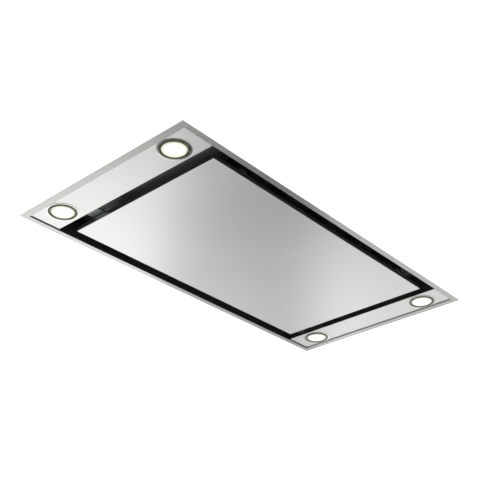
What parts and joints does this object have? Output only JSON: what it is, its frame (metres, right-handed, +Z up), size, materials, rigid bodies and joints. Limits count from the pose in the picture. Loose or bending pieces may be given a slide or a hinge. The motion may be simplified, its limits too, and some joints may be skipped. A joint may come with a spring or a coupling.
{
  "type": "ceiling range hood",
  "caption": "Flush ceiling range hood: steel trim frame with corner lamps and a hinged panel whose edge slot draws air through filters to a fan and side duct.",
  "frame": {"origin": "centre of the box at its underside, which is the visible face that lies flush with the ceiling", "axes": "+Z up into the ceiling, +X along the long side, -Y towards the cook, where the panel's front edge drops"},
  "size_m": [1.05, 0.52, 0.299],
  "materials": {
    "brushed_steel": "brushed along the long side",
    "black_paint": "semi-gloss powder coat",
    "chrome": "polished",
    "lens": "frosted",
    "cast_aluminium": "die cast",
    "filter_aluminium": "rolled",
    "galvanised": "spangled zinc",
    "black_plastic": "moulded",
    "grey_plastic": "moulded",
    "zinc_steel": "zinc plated"
  },
  "bodies": {
    "chassis": {"trim_frame": "brushed_steel", "suction_box": "black_paint", "suction_box_top": "black_paint", "lamp_box_left": "black_paint", "lamp_box_right": "black_paint", "lamp_plate_left": "brushed_steel", "lamp_plate_right": "brushed_steel", "lamp_bezel_1": "chrome", "lamp_bezel_2": "chrome", "lamp_bezel_3": "chrome", "lamp_bezel_4": "chrome", "lamp_lens_1": "lens", "lamp_lens_2": "lens", "lamp_lens_3": "lens", "lamp_lens_4": "lens", "lamp_body_1": "cast_aluminium", "lamp_body_2": "cast_aluminium", "lamp_body_3": "cast_aluminium", "lamp_body_4": "cast_aluminium", "filter_carrier": "black_paint", "fan_casing": "black_plastic", "fan_motor": "cast_aluminium", "motor_mount": "zinc_steel", "motor_housing": "galvanised", "duct_collar": "grey_plastic", "damper_pin": "zinc_steel", "control_box": "black_plastic", "control_box_lid": "black_plastic", "cable_gland": "grey_plastic", "lamp_driver": "grey_plastic", "suspension_bracket_1": "zinc_steel", "suspension_bracket_2": "zinc_steel", "suspension_bracket_3": "zinc_steel", "suspension_bracket_4": "zinc_steel", "hinge_bracket_left": "zinc_steel", "hinge_bracket_right": "zinc_steel", "catch_left": "black_plastic", "catch_right": "black_plastic"},
    "panel": {"panel_skin": "brushed_steel", "panel_back": "black_paint", "hinge_arm_left": "zinc_steel", "hinge_arm_right": "zinc_steel", "hinge_pin_left": "zinc_steel", "hinge_pin_right": "zinc_steel", "catch_strike_left": "zinc_steel", "catch_strike_right": "zinc_steel"},
    "fan": {"fan_wheel": "grey_plastic", "fan_shaft": "zinc_steel"},
    "damper_back": {"damper_flap_back": "filter_aluminium"},
    "damper_front": {"damper_flap_front": "filter_aluminium"},
    "filter_1": {"filter_frame_1": "filter_aluminium", "filter_mesh_1": "filter_aluminium", "filter_grip_1": "black_plastic"},
    "filter_2": {"filter_frame_2": "filter_aluminium", "filter_mesh_2": "filter_aluminium", "filter_grip_2": "black_plastic"},
    "filter_3": {"filter_frame_3": "filter_aluminium", "filter_mesh_3": "filter_aluminium", "filter_grip_3": "black_plastic"}
  },
  "joints": [
    {"name": "panel_hinge", "type": "hinge", "parent": "chassis", "child": "panel", "pos_m": [0, 0.2, 0.022], "axis": [1, 0, 0], "range_deg": [0, 90]},
    {"name": "fan_spin", "type": "hinge", "parent": "chassis", "child": "fan", "pos_m": [0, 0, 0.175], "axis": [0, 0, 1], "continuous": true},
    {"name": "damper_back_swing", "type": "hinge", "parent": "chassis", "child": "damper_back", "pos_m": [0.2373, -0.131, 0.1856], "axis": [0, 0, -1], "range_deg": [0, 75], "stiffness_Nm_per_rad": 0.01, "springref_deg": -17.19},
    {"name": "damper_front_swing", "type": "hinge", "parent": "chassis", "child": "damper_front", "pos_m": [0.2373, -0.131, 0.1856], "axis": [0, 0, 1], "range_deg": [0, 75], "stiffness_Nm_per_rad": 0.01, "springref_deg": -17.19},
    {"name": "filter_1_drop", "type": "slide", "parent": "chassis", "child": "filter_1", "axis": [0, 0, -1], "range_m": [0, 0.025]},
    {"name": "filter_2_drop", "type": "slide", "parent": "chassis", "child": "filter_2", "axis": [0, 0, -1], "range_m": [0, 0.025]},
    {"name": "filter_3_drop", "type": "slide", "parent": "chassis", "child": "filter_3", "axis": [0, 0, -1], "range_m": [0, 0.025]}
  ]
}
